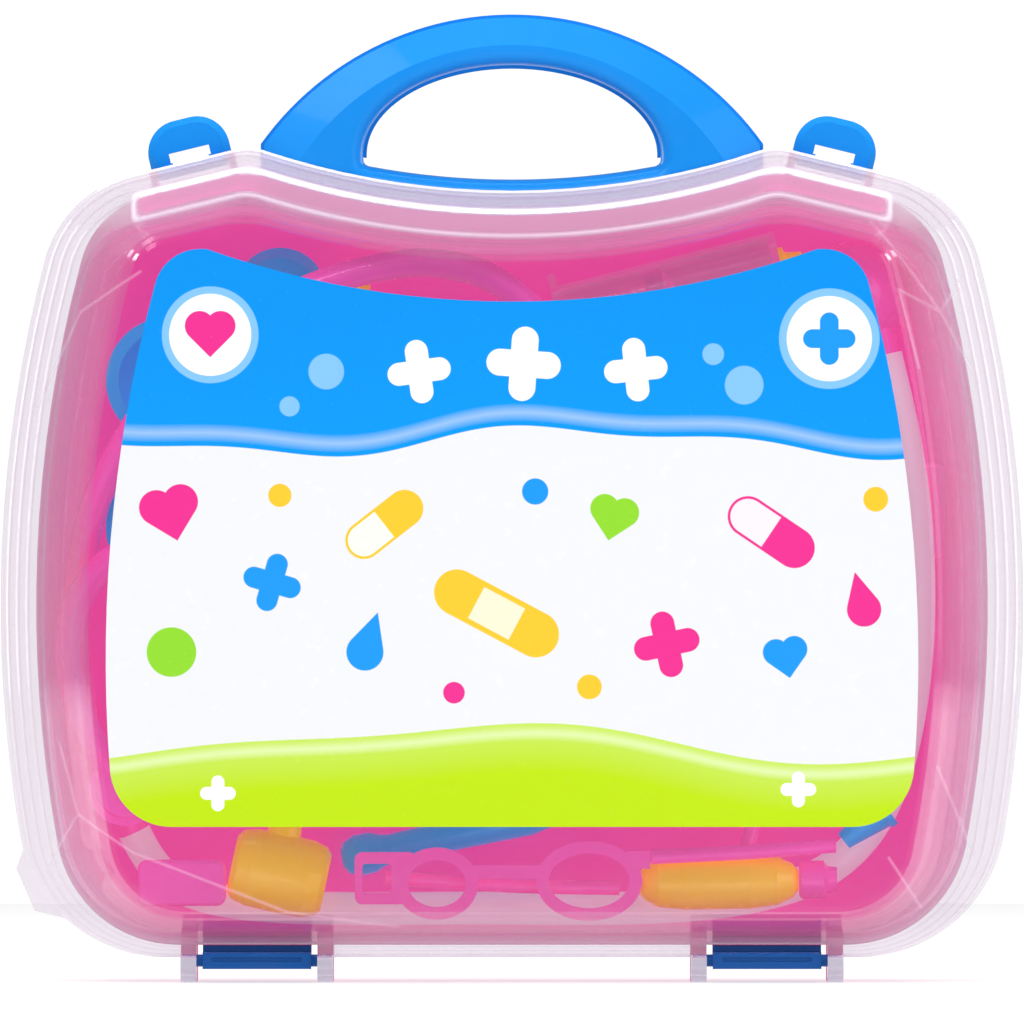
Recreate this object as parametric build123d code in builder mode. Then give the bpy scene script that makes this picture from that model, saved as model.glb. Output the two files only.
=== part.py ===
"""Toy doctor case: a clear lid on a pink tub, with a blue handle, snap latches and a set of toys.

Millimetres. +X is to the right, +Y to the back, +Z up. The case stands on its hinge lugs and
feet, and the origin is the centre of its footprint at the level of the table.
"""
from build123d import *
import math
import os

os.makedirs("parts", exist_ok=True)

# ---------------------------------------------------------------- driving dimensions
case_half_width = 132.9      # rim, at its widest height
widest_height = 98.0         # where the bowed sides are widest
side_radius = 356.0          # bow of the two sides
rim_bottom = 6.5             # lowest edge of the rim above the table
peak_half_span = 68.0        # from the middle to a shoulder peak
peak_height = 217.4          # shoulder peak, before it is rounded
shoulder_fall = 13.7         # degrees, from a peak down to the corner
dip_height = 205.7           # lowest point of the dip under the handle
dip_radius = 204.0
peak_round = 12.0
top_corner_round = 31.0
bottom_corner_round = 38.5

lid_depth = 34.0
tub_depth = 38.0
label_thickness = 0.3
lid_wall = 1.6
tub_wall = 1.8
rim_thickness = 2.4
rim_rib_starts = (0.16, 0.46, 0.76)  # ribs on the rim, as shares of its width
rim_rib_width = 0.14
rim_rib_height = 0.8
rim_rib_slope = 30.0         # degrees, flanks of a rib
rim_edge_chamfer = 0.7
parting_gap = 0.15           # between the lid's rim and the tub's mouth
seat_gap = 0.2               # between a seated piece and what carries it
same_place = 0.01            # two points closer than this are one

# Insets from the rim's edge, as (side, top, bottom)
lid_mouth_inset = (8.4, 7.5, 3.2)
lid_panel_inset = (21.4, 17.0, 10.5)
tub_mouth_inset = (9.2, 6.5, 3.2)
tub_back_inset = (12.7, 10.0, 4.7)
edge_round = 3.5             # softened edge of the back
panel_round = 2.0            # softened edge of the front panel
edge_break = 0.3             # share of such an edge where its soft slope steepens
panel_slope = (0.1, 0.7)     # how far the front panel's edge draws in, as shares of its softening
smallest_corner = 4.0

# Worked out from the sizes above
parting_y = (lid_depth + label_thickness - tub_depth) / 2
lid_front_y = parting_y - lid_depth
tub_back_y = parting_y + tub_depth
back_floor_y = tub_back_y - tub_wall
tub_mouth_y = parting_y + parting_gap

# Hinges along the bottom: clear lugs on the lid turn on stub pins of the blue hinge bars
hinge_axis_height = 5.7
hinge_axis_y = parting_y - 4.0
lug_radius = hinge_axis_height
lug_thickness = 4.1
lug_centres = (case_half_width - 84.4, case_half_width - 48.9)
lug_pin_radius = 1.6
pin_play = 0.1
bar_half_height = 2.2
bar_half_depth = 2.6
bar_end_gap = 1.6
bar_web_depth = 12.0
notch_height = 9.8           # top of the cuts in the rim that the hinge bars lie in
notch_depth = 30.0
lug_root_height = 6.5        # lug above its axis, up into the lid's floor
bar_round = 0.8
bar_foot_height = 10.0       # web that carries a bar up to the tub's floor
bar_foot_step = 0.6
groove_height = 1.2
groove_depth = 0.6
groove_end = 2.5
groove_rise = 0.3
pin_recess = 0.5             # pins end this far inside their lugs
foot_gap = 0.5
foot_back_y = 26.0
foot_height = 16.0
foot_lean = 4.0
foot_round = 1.5

# Latches on the shoulders, hinged on ears of the tub behind the rim
latch_past_peak = 15.4
latch_centre_x = peak_half_span + latch_past_peak
latch_width = 21.4
latch_height = 11.1
latch_thickness = 2.5
latch_corner = 8.5
latch_neck_width = 18.0
latch_barrel_radius = 1.4
latch_stub_radius = 0.8
latch_drop = 1.9             # pivot below the rim's edge
latch_set_back = 2.2         # front face of the tab behind the pivot
latch_slot_low = 2.4
latch_slot_high = 4.9
latch_slot_width = 10.7
latch_shoulder = 1.0         # where the tab widens from its neck
latch_neck_height = 5.0
latch_bevel = (1.1, 1.6)
latch_web = 2.0
catch_width = 9.5
catch_height = 1.2
catch_depth = 0.8
catch_root = 0.6             # part of a catch that is let into the rim
catch_play = 0.05
ear_radius = 1.9
ear_thickness = 2.0
ear_clearance = 0.4
ear_root = 9.0
ear_stand = 0.3              # ears behind the parting plane

# Handle
handle_top = 251.7
handle_radius = 80.3
handle_foot_half_span = 65.4
grip_half_span = 37.8
grip_floor_rise = 2.1        # top of the foot bar above the rim's dip
grip_top_thickness = 14.1
grip_room = handle_top - grip_top_thickness - dip_height - grip_floor_rise
grip_height = 0.752 * grip_room
handle_round = 0.134 * grip_room     # a low handle has less to hold and softer edges to match
crease_top_inset = 8.1       # crease on the handle's face, below the top of the arch
crease_radius_inset = 14.6
crease_fall = 3.6            # the outer facet falls back by this much to the arch's edge
grip_base_height = handle_top - grip_top_thickness - grip_height
handle_half_depth = 9.0
handle_wall = 2.0
bead_height = 0.9
bead_depth = 1.4
handle_stand = 0.4           # handle behind the parting plane
handle_hollow_depth = 5.4    # of each half, from the middle
handle_foot_drop = 12.0      # foot of the arch below the rim's dip
grip_skirt = 12.0
grip_corner_round = 0.1 * grip_room
bead_corner_round = 0.067 * grip_room

# Label
label_side_inset = 27.9
label_half_width = case_half_width - label_side_inset
label_bottom = 40.8
label_top = 190.2
label_dip_height = 176.6
label_dip_radius = 236.0
label_side_radius = 377.0
label_widest_height = 84.0
label_bottom_round = 16.0
label_top_round = 12.0
label_peak_round = 18.0
label_peak_reach = 85.0      # the peaks lie inside this half span


# ---------------------------------------------------------------- helpers
def facing(y):
    """Upright plane at depth y that faces the front: local x is X and local y is Z."""
    return Plane.XZ.offset(-y)


def grown(inset, amount):
    """An inset made larger on every side by one wall or clearance."""
    return tuple(value + amount for value in inset)


def between(inset, other, share):
    """Inset that lies at a share of the way from one inset to another."""
    return tuple(a + (b - a) * share for a, b in zip(inset, other))


def case_outline(inset, mode=Mode.ADD):
    """Outline of the case: bowed sides, sloping shoulders and the dip under the handle."""
    side, top, bottom = inset
    fall = math.tan(math.radians(shoulder_fall))
    reach = 1.15 * case_half_width
    ridge = peak_height + fall * peak_half_span - top / math.cos(math.radians(shoulder_fall))
    bow = side_radius - side
    corner = max(bottom_corner_round - side * 0.6 - bottom * 0.4, smallest_corner)
    shoulder = max(top_corner_round - (side + top) / 2, smallest_corner)
    with BuildSketch(mode=Mode.PRIVATE) as outline:
        with BuildLine():
            Polyline(
                (-reach, rim_bottom + bottom), (reach, rim_bottom + bottom),
                (reach, ridge - fall * reach), (0, ridge), (-reach, ridge - fall * reach),
                close=True,
            )
        make_face()
        for hand in (-1, 1):
            with Locations((hand * (case_half_width - side_radius), widest_height)):
                Circle(bow, mode=Mode.INTERSECT)
        with Locations((0, dip_height + dip_radius)):
            Circle(dip_radius + top, mode=Mode.SUBTRACT)
        fillet(outline.vertices().group_by(Axis.Y)[0], corner)
        fillet(outline.vertices().group_by(Axis.Y)[-1], peak_round + top)
        upper = [v for v in outline.vertices() if v.Y > widest_height]
        fillet([v for v in upper if abs(v.X) > peak_half_span * 1.4], shoulder)
    add(outline.sketch, mode=mode)


def case_loft(stations, mode=Mode.ADD):
    """Solid through case outlines, given as (depth, inset) stations from one end to the other."""
    with BuildPart(mode=Mode.PRIVATE) as body:
        for depth, inset in stations:
            with BuildSketch(facing(depth)):
                case_outline(inset)
        loft(ruled=True)
    add(body.part, mode=mode)


def tub_form(clearance, mode=Mode.ADD):
    """Outer form of the tub, grown by a clearance or shrunk by a wall when that is negative."""
    mouth = grown(tub_mouth_inset, -clearance)
    back = grown(tub_back_inset, -clearance)
    soft = between(mouth, back, 1 - edge_round / tub_depth)
    end = tub_back_y + clearance
    case_loft(
        [
            (tub_mouth_y, mouth),
            (end - edge_round, soft),
            (end - edge_round * edge_break, grown(back, edge_round * edge_break)),
            (end, grown(back, edge_round)),
        ],
        mode=mode,
    )


def rim_rib(share_out, share_in, height):
    """Rib with sloping flanks between two shares of the way from the rim's edge to the lid's mouth."""
    edge = (0.0, 0.0, 0.0)
    flank = height * math.tan(math.radians(rim_rib_slope))
    outer = between(edge, lid_mouth_inset, share_out)
    inner = between(edge, lid_mouth_inset, share_in)
    foot_y = parting_y - rim_thickness
    with BuildPart(mode=Mode.PRIVATE) as ring:
        case_loft([(foot_y, outer), (foot_y - height, grown(outer, flank))])
        case_loft([(foot_y, inner), (foot_y - height, grown(inner, -flank))], mode=Mode.SUBTRACT)
    add(ring.part)


def shoulder_plane(hand, y, rise=0.0):
    """Plane on a shoulder: x along the slope, y outward from the rim, facing the front."""
    slope = math.radians(shoulder_fall)
    edge = peak_height - math.tan(slope) * (latch_centre_x - peak_half_span)
    origin = (
        hand * (latch_centre_x + rise * math.sin(slope)), y, edge + rise * math.cos(slope),
    )
    return Plane(origin=origin, x_dir=(math.cos(slope), 0, -hand * math.sin(slope)), z_dir=(0, -1, 0))


def side_plane(x):
    """Upright plane at x that faces +X: local x is Y and local y is Z."""
    return Plane.YZ.offset(x)


def finish_piece(builder, label, colour):
    """Name a finished piece, give it its colour and write it."""
    builder.part.label = label
    builder.part.color = Color(*colour)
    export_step(builder.part, f"parts/{label}.step")


clear_colour = (0.86, 0.90, 0.95, 0.35)
pink_colour = (0.93, 0.25, 0.62)
blue_colour = (0.02, 0.48, 0.93)
yellow_colour = (0.98, 0.72, 0.13)
white_colour = (0.93, 0.94, 0.96)
green_colour = (0.55, 0.80, 0.12)

latch_pivot_y = parting_y + ear_stand + ear_radius
lug_places = [hand * centre for hand in (-1, 1) for centre in lug_centres]
foot_front_y = hinge_axis_y + lug_radius + foot_gap
hinge_middle = sum(lug_centres) / 2
bar_half_length = (lug_centres[1] - lug_centres[0] - lug_thickness) / 2 - bar_end_gap

# ---------------------------------------------------------------- front shell (the clear lid)
ledge_span_share = 0.741     # of the case's half width, out on the shoulders' rounding
ledge_half_span = ledge_span_share * case_half_width
ledge_depth = 8.0
ledge_top_inset = (8.4, 5.0, 3.2)
ledge_low_inset = (8.4, 12.0, 3.2)
ledge_round = 3.0
ledge_edge_chamfer = 1.3
ledge_reach = 80.0           # tall enough to take in shoulders and dip
lid_top_inset = (8.4, 12.0, 3.2)
opening_tab_offsets = ((18.9, 27.5), (5.9, 28.0), (4.1, 23.0), (8.9, 12.1), (16.9, 10.1))
opening_tab_root = (3.0, 3.0, 3.0)
opening_tab_thickness = 1.6


def lid_form(shrink, mode=Mode.ADD):
    """Outer form of the lid's walls and front panel, shrunk by a wall for its inside."""
    mouth = grown(lid_top_inset, shrink)
    panel = grown(lid_panel_inset, shrink)
    soft = between(mouth, panel, 1 - panel_round / lid_depth)
    end = lid_front_y + shrink
    case_loft(
        [
            (parting_y, mouth),
            (end + panel_round, soft),
            (end + panel_round * edge_break, grown(panel, panel_round * panel_slope[0])),
            (end, grown(panel, panel_round * panel_slope[1])),
        ],
        mode=mode,
    )


def ledge_band(shrink, depth, edge_chamfer=0.0, mode=Mode.ADD):
    """Raised band that follows the dip and the shoulders across the top of the lid."""
    with BuildPart(mode=Mode.PRIVATE) as band:
        with BuildSketch(facing(parting_y)) as shape:
            case_outline(grown(ledge_top_inset, shrink))
            case_outline(grown(ledge_low_inset, -shrink), mode=Mode.SUBTRACT)
            with Locations((0, peak_height)):
                Rectangle(2 * (ledge_half_span - shrink), ledge_reach, mode=Mode.INTERSECT)
            ends = [v for v in shape.vertices() if abs(v.X) > ledge_half_span - shrink - same_place]
            fillet(ends, ledge_round - shrink)
        extrude(amount=depth)
        if edge_chamfer:
            chamfer(band.faces().sort_by(Axis.Y)[0].edges(), edge_chamfer)
    add(band.part, mode=mode)


def catch_form(hand, play=0.0, mode=Mode.ADD):
    """Catch that a latch snaps over, let into the rim's edge; with play it is its pocket."""
    with BuildPart(mode=Mode.PRIVATE) as bar:
        with BuildSketch(shoulder_plane(hand, parting_y - (rim_thickness - catch_depth) / 2 + play)):
            with Locations((0, -catch_root - play)):
                Rectangle(
                    catch_width + 2 * play, catch_height + catch_root + play,
                    align=(Align.CENTER, Align.MIN),
                )
        extrude(amount=catch_depth + 2 * play)
    add(bar.part, mode=mode)


with BuildPart() as front_shell:
    with BuildSketch(facing(parting_y)):
        case_outline((0.0, 0.0, 0.0))
    extrude(amount=rim_thickness)
    rim_edges = front_shell.faces().sort_by(Axis.Y)[0].edges()
    chamfer(rim_edges, rim_edge_chamfer)
    for share in rim_rib_starts:
        rim_rib(share, share + rim_rib_width, rim_rib_height)
    lid_form(0.0)
    ledge_band(0.0, ledge_depth, ledge_edge_chamfer)
    for place in lug_places:
        with BuildSketch(side_plane(place - lug_thickness / 2)):
            with Locations((hinge_axis_y, hinge_axis_height)):
                Circle(lug_radius)
            with Locations((hinge_axis_y - lug_radius, hinge_axis_height)):
                Rectangle(
                    lug_radius + parting_y - hinge_axis_y - seat_gap, lug_root_height,
                    align=(Align.MIN, Align.MIN),
                )
        extrude(amount=lug_thickness)
    lid_form(lid_wall, mode=Mode.SUBTRACT)
    ledge_band(lid_wall, ledge_depth - lid_wall, mode=Mode.SUBTRACT)
    for hand in (-1, 1):
        with BuildSketch(Plane.XY):
            with Locations((hand * hinge_middle, parting_y)):
                Rectangle(lug_centres[1] - lug_centres[0] - lug_thickness, notch_depth)
        extrude(amount=notch_height, mode=Mode.SUBTRACT)
        catch_form(hand, catch_play, mode=Mode.SUBTRACT)
    for place in lug_places:
        with BuildSketch(side_plane(place - lug_thickness)):
            with Locations((hinge_axis_y, hinge_axis_height)):
                Circle(lug_pin_radius + pin_play)
        extrude(amount=2 * lug_thickness, mode=Mode.SUBTRACT)
    # opening tab at the lower left corner
    with BuildSketch(facing(parting_y)):
        with BuildLine():
            Polyline(*[(x - case_half_width, rim_bottom + z) for x, z in opening_tab_offsets], close=True)
        make_face()
        case_outline(opening_tab_root, mode=Mode.SUBTRACT)
    extrude(amount=opening_tab_thickness)
finish_piece(front_shell, "front_shell", clear_colour)

for hand, name in ((-1, "left"), (1, "right")):
    with BuildPart() as catch:
        catch_form(hand)
    finish_piece(catch, f"catch_{name}", clear_colour)

# ---------------------------------------------------------------- rear shell (the pink tub)
with BuildPart() as rear_shell:
    tub_form(0.0)
    for place in lug_places:
        with BuildSketch(side_plane(place - lug_thickness / 2)) as foot:
            with BuildLine():
                Polyline(
                    (foot_front_y, 0), (foot_back_y, 0),
                    (foot_back_y + foot_lean, foot_height), (foot_front_y, foot_height), close=True,
                )
            make_face()
            fillet(foot.vertices().group_by(Axis.Y)[0], foot_round)
        extrude(amount=lug_thickness)
    for hand in (-1, 1):
        ear_offset = (latch_neck_width + ear_thickness) / 2 + ear_clearance
        for side in (-1, 1):
            spot = shoulder_plane(hand, latch_pivot_y, -latch_drop)
            ear_plane = Plane(
                origin=spot.from_local_coords((side * ear_offset - ear_thickness / 2, 0, 0)),
                x_dir=(0, 1, 0), z_dir=spot.x_dir,
            )
            with BuildSketch(ear_plane):
                Circle(ear_radius)
                Rectangle(2 * ear_radius, ear_root, align=(Align.CENTER, Align.MAX))
                Circle(latch_stub_radius + pin_play, mode=Mode.SUBTRACT)
            extrude(amount=ear_thickness)
    tub_form(-tub_wall, mode=Mode.SUBTRACT)
finish_piece(rear_shell, "rear_shell", pink_colour)

# ---------------------------------------------------------------- hinge bars
for hand, name in ((-1, "left"), (1, "right")):
    middle = hand * hinge_middle
    with BuildPart() as hinge_block:
        with BuildSketch(side_plane(middle - bar_half_length)) as bar:
            with Locations((hinge_axis_y, hinge_axis_height)):
                Rectangle(2 * bar_half_depth, 2 * bar_half_height)
            fillet(bar.vertices(), bar_round)
            with Locations((hinge_axis_y, hinge_axis_height)):
                Rectangle(
                    parting_y - hinge_axis_y + bar_web_depth, 2 * (bar_half_height - bar_foot_step),
                    align=(Align.MIN, Align.CENTER),
                )
            with Locations((parting_y + bar_foot_step, hinge_axis_height)):
                Rectangle(bar_web_depth - bar_foot_step, bar_foot_height, align=(Align.MIN, Align.MIN))
        extrude(amount=2 * bar_half_length)
        with BuildSketch(facing(hinge_axis_y - bar_half_depth)):
            with Locations((middle, hinge_axis_height + groove_rise)):
                SlotOverall(2 * (bar_half_length - groove_end), groove_height)
        extrude(amount=-groove_depth, mode=Mode.SUBTRACT)
        with BuildSketch(side_plane(middle)):
            with Locations((hinge_axis_y, hinge_axis_height)):
                Circle(lug_pin_radius)
        extrude(amount=bar_half_length + bar_end_gap + lug_thickness - pin_recess, both=True)
        tub_form(seat_gap, mode=Mode.SUBTRACT)
    finish_piece(hinge_block, f"hinge_block_{name}", blue_colour)

# ---------------------------------------------------------------- handle
handle_front_y = parting_y + handle_stand
handle_middle_y = handle_front_y + handle_half_depth


def handle_face(shrink=0.0, opening_corner=grip_corner_round):
    """Arch of the handle above its foot bar, with the finger opening cut out."""
    with BuildSketch(mode=Mode.PRIVATE) as opening:
        with Locations((0, grip_base_height)):
            Ellipse(grip_half_span + shrink, grip_height + shrink)
            Rectangle(2 * (grip_half_span + shrink), grip_skirt, align=(Align.CENTER, Align.MAX))
        with Locations((0, dip_height + dip_radius)):
            Circle(dip_radius - grip_floor_rise - shrink, mode=Mode.INTERSECT)
        if opening_corner:
            fillet(opening.vertices().group_by(Axis.Y)[0], opening_corner)
    with Locations((0, handle_top - handle_radius)):
        Circle(handle_radius - shrink)
    with Locations((0, dip_height - handle_foot_drop + shrink)):
        Rectangle(
            2 * (handle_foot_half_span - shrink), handle_radius,
            align=(Align.CENTER, Align.MIN), mode=Mode.INTERSECT,
        )
    add(opening.sketch, mode=Mode.SUBTRACT)


def handle_crown(start_y, toward):
    """Body whose outer facet falls back from the crease to the arch's edge."""
    face_y = start_y - toward * handle_half_depth
    edge_y = face_y + toward * crease_fall
    edge_radius = handle_radius - bead_height
    with BuildPart(mode=Mode.PRIVATE) as crown:
        with BuildSketch(facing(edge_y)):
            with Locations((0, handle_top - handle_radius)):
                Circle(edge_radius)
        with BuildSketch(facing(face_y)):
            with Locations((0, handle_top - crease_top_inset - handle_radius + crease_radius_inset)):
                Circle(handle_radius - crease_radius_inset)
        loft(ruled=True)
        with BuildSketch(facing(start_y)):
            with Locations((0, handle_top - handle_radius)):
                Circle(edge_radius)
        extrude(amount=toward * (handle_half_depth - crease_fall))
    add(crown.part, mode=Mode.INTERSECT)


for name, start_y, end_y in (
    ("front", handle_middle_y, handle_front_y),
    ("rear", handle_middle_y, handle_middle_y + handle_half_depth),
):
    toward = 1 if end_y < start_y else -1
    with BuildPart() as handle_half:
        with BuildSketch(facing(start_y)):
            handle_face(bead_height, opening_corner=bead_corner_round)
        extrude(amount=toward * handle_half_depth)
        handle_crown(start_y, toward)
        outer_face = handle_half.faces().sort_by(Axis.Y)[0 if toward > 0 else -1]
        grip_edges = outer_face.inner_wires()[0].edges()
        fillet([e for e in grip_edges if e.center().Z > grip_base_height - same_place], handle_round)
        with BuildSketch(facing(start_y)):
            handle_face()
        extrude(amount=toward * bead_depth / 2)
        with BuildSketch(facing(start_y)):
            handle_face(bead_height + handle_wall, opening_corner=0)
        extrude(amount=toward * handle_hollow_depth, mode=Mode.SUBTRACT)
        tub_form(seat_gap, mode=Mode.SUBTRACT)
    finish_piece(handle_half, f"handle_{name}", blue_colour)

# ---------------------------------------------------------------- latches
for hand, name in ((-1, "left"), (1, "right")):
    pivot = shoulder_plane(hand, latch_pivot_y, -latch_drop)
    across = Plane(origin=pivot.origin, x_dir=(0, 1, 0), z_dir=pivot.x_dir)
    with BuildPart() as latch:
        with BuildSketch(pivot.offset(-latch_set_back - latch_thickness)) as tab:
            with Locations((0, latch_shoulder)):
                Rectangle(
                    latch_width, latch_height + latch_drop - latch_shoulder,
                    align=(Align.CENTER, Align.MIN),
                )
            fillet(tab.vertices().group_by(Axis.Y)[-1], latch_corner)
            with Locations((0, -latch_barrel_radius)):
                Rectangle(latch_neck_width, latch_neck_height, align=(Align.CENTER, Align.MIN))
            with Locations((0, (latch_slot_low + latch_slot_high) / 2)):
                Rectangle(latch_slot_width, latch_slot_high - latch_slot_low, mode=Mode.SUBTRACT)
        extrude(amount=latch_thickness)
        front_face = latch.faces().sort_by(Axis.Y)[0]
        round_edges = front_face.outer_wire().edges().filter_by(GeomType.CIRCLE)
        top_edge = front_face.outer_wire().edges().filter_by(GeomType.LINE).sort_by(Axis.Z)[-1]
        chamfer(list(round_edges) + [top_edge], length=latch_bevel[0], length2=latch_bevel[1])
        with BuildSketch(across):
            Circle(latch_barrel_radius)
            Rectangle(latch_set_back + latch_thickness, latch_web, align=(Align.MIN, Align.CENTER))
        extrude(amount=latch_neck_width / 2, both=True)
        with BuildSketch(across):
            Circle(latch_stub_radius)
        extrude(amount=latch_neck_width / 2 + ear_thickness, both=True)
    finish_piece(latch, f"latch_{name}", blue_colour)

# ---------------------------------------------------------------- label
with BuildPart() as label_sheet:
    with BuildSketch(facing(lid_front_y)) as sheet:
        with Locations((0, label_bottom)):
            Rectangle(2.1 * label_half_width, label_top - label_bottom, align=(Align.CENTER, Align.MIN))
        for hand in (-1, 1):
            with Locations((hand * (label_half_width - label_side_radius), label_widest_height)):
                Circle(label_side_radius, mode=Mode.INTERSECT)
        with Locations((0, label_dip_height + label_dip_radius)):
            Circle(label_dip_radius, mode=Mode.SUBTRACT)
        fillet(sheet.vertices().group_by(Axis.Y)[0], label_bottom_round)
        tops = [v for v in sheet.vertices() if v.Y > label_top - 1]
        fillet([v for v in tops if abs(v.X) > label_peak_reach], label_top_round)
        fillet([v for v in tops if abs(v.X) < label_peak_reach], label_peak_round)
    extrude(amount=label_thickness)
finish_piece(label_sheet, "label_sheet", white_colour)

# ================================================================ toys packed in the tub
toy_back_y = back_floor_y - seat_gap        # toys lie on the tub's back wall
arc_share = 0.45                            # of the shorter run beside a corner


def bend_radii(route):
    """Largest even arcs that the runs beside each corner allow."""
    radii = []
    for before, here, after in zip(route, route[1:], route[2:]):
        run_in, run_out = here - before, after - here
        turn = math.radians(run_in.get_angle(run_out))
        radii.append(arc_share * min(run_in.length, run_out.length) / math.tan(turn / 2))
    return radii


def tube(points, radius, mode=Mode.ADD):
    """Round tube along straight runs that are joined by tangent arcs."""
    route = [Vector(*point) for point in points]
    with BuildPart(mode=Mode.PRIVATE) as body:
        with BuildLine() as path:
            FilletPolyline(*route, radius=bend_radii(route))
        with BuildSketch(Plane(origin=route[0], z_dir=route[1] - route[0])):
            Circle(radius)
        sweep(path=path.line)
    add(body.part, mode=mode)


def turned(start, end, profile, mode=Mode.ADD):
    """Solid of revolution on the line from start to end, from (distance, radius) pairs."""
    axis = Vector(*end) - Vector(*start)
    side = Vector(0, 1, 0) if abs(axis.normalized().Y) < 0.9 else Vector(1, 0, 0)
    frame = Plane(origin=start, x_dir=axis, z_dir=axis.cross(side))
    with BuildPart(mode=Mode.PRIVATE) as body:
        with BuildSketch(frame):
            with BuildLine():
                Polyline((profile[0][0], 0), *profile, (profile[-1][0], 0), close=True)
            make_face()
        revolve(axis=Axis(start, axis))
    add(body.part, mode=mode)


def turned_forward(centre, back_y, profile, mode=Mode.ADD):
    """Solid of revolution that starts at depth back_y and grows towards the front."""
    turned((centre[0], back_y, centre[1]), (centre[0], back_y - 1, centre[1]), profile, mode)


def spigot(end, inner, radius, length):
    """Stub that meets the end of a tube face to face and runs on in line with it."""
    end, inner = Vector(*end), Vector(*inner)
    with BuildPart(mode=Mode.PRIVATE) as stub:
        with BuildSketch(Plane(origin=end, z_dir=end - inner)):
            Circle(radius)
        extrude(amount=length)
    add(stub.part)


# ---------------------------------------------------------------- kidney dish
dish_centre = (-109.7, 137.3)
dish_arc_radius = 28.0
dish_half_angle = 43.4
dish_width = 30.0
dish_depth = 14.0
dish_wall = 1.6
dish_lip = 1.6
dish_foot_round = 3.0
dish_arc = CenterArc(dish_centre, dish_arc_radius, -dish_half_angle, 2 * dish_half_angle)

with BuildPart() as kidney_dish:
    with BuildSketch(facing(toy_back_y)):
        SlotArc(dish_arc, dish_width)
    extrude(amount=dish_depth)
    fillet(kidney_dish.faces().sort_by(Axis.Y)[-1].edges(), dish_foot_round)
    with BuildSketch(facing(toy_back_y - dish_depth + dish_wall)):
        SlotArc(dish_arc, dish_width + 2 * dish_lip)
    extrude(amount=dish_wall)
    with BuildSketch(facing(toy_back_y - dish_wall)):
        SlotArc(dish_arc, dish_width - 2 * dish_wall)
    extrude(amount=dish_depth, mode=Mode.SUBTRACT)
finish_piece(kidney_dish, "kidney_dish", blue_colour)

# ---------------------------------------------------------------- stethoscope
arm_radius = 3.8
arm_socket_radius = 4.7
hose_radius = 4.3
hose_spigot_radius = 3.7
spigot_length = 7.0
yoke_centre = (-100.8, 49.9)
yoke_radius = 9.5
yoke_foot_radius = 7.5
yoke_back_y = 31.0
yoke_front_y = 12.5
yoke_foot_front_y = 11.0
yoke_round = 1.0
tip_profile = ((0, 4.4), (1.2, 5.2), (4.0, 5.6), (7.5, 5.0), (9.8, 3.2), (10.6, 1.2))
chest_centre = (90.5, 179.0)
chest_back_y = 30.5
chest_profile = (
    (0, 12.0), (1.5, 14.3), (4.0, 14.3), (8.0, 12.6), (11.5, 9.6), (14.0, 5.6), (15.0, 2.5),
)
chest_spigot_length = 8.0
diaphragm_radius = 11.0
diaphragm_play = 0.1

left_arm_route = [
    (-106.3, 15.5, 58.3), (-110.7, 15.5, 64.9), (-114.2, 15.5, 74.5), (-115.8, 15.5, 86.0),
    (-114.0, 15.5, 98.0), (-107.0, 15.5, 108.5), (-94.2, 14.2, 114.6), (-80.5, 13.6, 116.2),
]
right_arm_route = [
    (-106.8, 28.0, 57.9), (-111.4, 28.2, 64.1), (-113.9, 28.2, 79.0), (-114.0, 27.6, 94.0),
    (-112.6, 23.5, 109.7), (-108.5, 14.0, 126.5), (-97.9, 12.0, 146.0), (-81.2, 12.0, 163.8),
    (-62.6, 12.0, 176.4), (-42.2, 12.0, 184.6), (-22.8, 12.0, 187.8), (-7.0, 12.0, 184.6),
    (5.0, 12.0, 176.0), (11.0, 12.0, 164.3),
]
hose_route = [
    (-98.6, 28.4, 38.6), (-94.2, 29.0, 29.0), (-83.0, 29.6, 21.8), (-64.5, 29.7, 19.0),
    (-38.4, 29.7, 18.5), (-8.5, 29.7, 18.8), (20.2, 29.7, 18.5), (43.6, 29.7, 19.0),
    (64.4, 29.7, 21.5), (82.5, 29.6, 27.5), (96.0, 29.2, 41.0), (103.2, 27.8, 62.9),
    (106.4, 24.6, 88.9), (106.0, 23.1, 118.0), (102.4, 23.2, 144.0), (97.6, 23.8, 163.2),
]

for name, route in (("left", left_arm_route), ("right", right_arm_route)):
    with BuildPart() as arm:
        tube(route, arm_radius)
    finish_piece(arm, f"stethoscope_arm_{name}", pink_colour)
    with BuildPart() as ear_tip:
        tip_start = Vector(*route[-1])
        turned(tip_start, tip_start + (tip_start - Vector(*route[-2])), tip_profile)
    finish_piece(ear_tip, f"ear_tip_{name}", white_colour)

with BuildPart() as stethoscope_hose:
    tube(hose_route, hose_radius)
finish_piece(stethoscope_hose, "stethoscope_hose", white_colour)
print("hose bends, mm:", [round(radius, 1) for radius in bend_radii([Vector(*p) for p in hose_route])])

with BuildPart() as stethoscope_yoke:
    with BuildSketch(facing(toy_back_y)):
        with Locations(yoke_centre):
            Circle(yoke_foot_radius)
    extrude(amount=toy_back_y - yoke_foot_front_y)
    with BuildSketch(facing(yoke_back_y)):
        with Locations(yoke_centre):
            Circle(yoke_radius)
    extrude(amount=yoke_back_y - yoke_front_y)
    fillet(stethoscope_yoke.faces().sort_by(Axis.Y)[0].edges(), yoke_round)
    spigot(left_arm_route[0], left_arm_route[1], arm_socket_radius, spigot_length)
    spigot(right_arm_route[0], right_arm_route[1], arm_socket_radius, spigot_length)
    spigot(hose_route[0], hose_route[1], hose_spigot_radius, spigot_length)
finish_piece(stethoscope_yoke, "stethoscope_yoke", pink_colour)

with BuildPart() as chest_piece:
    turned_forward(chest_centre, chest_back_y, chest_profile)
    spigot(hose_route[-1], hose_route[-2], hose_spigot_radius, chest_spigot_length)
finish_piece(chest_piece, "chest_piece", pink_colour)

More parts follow.
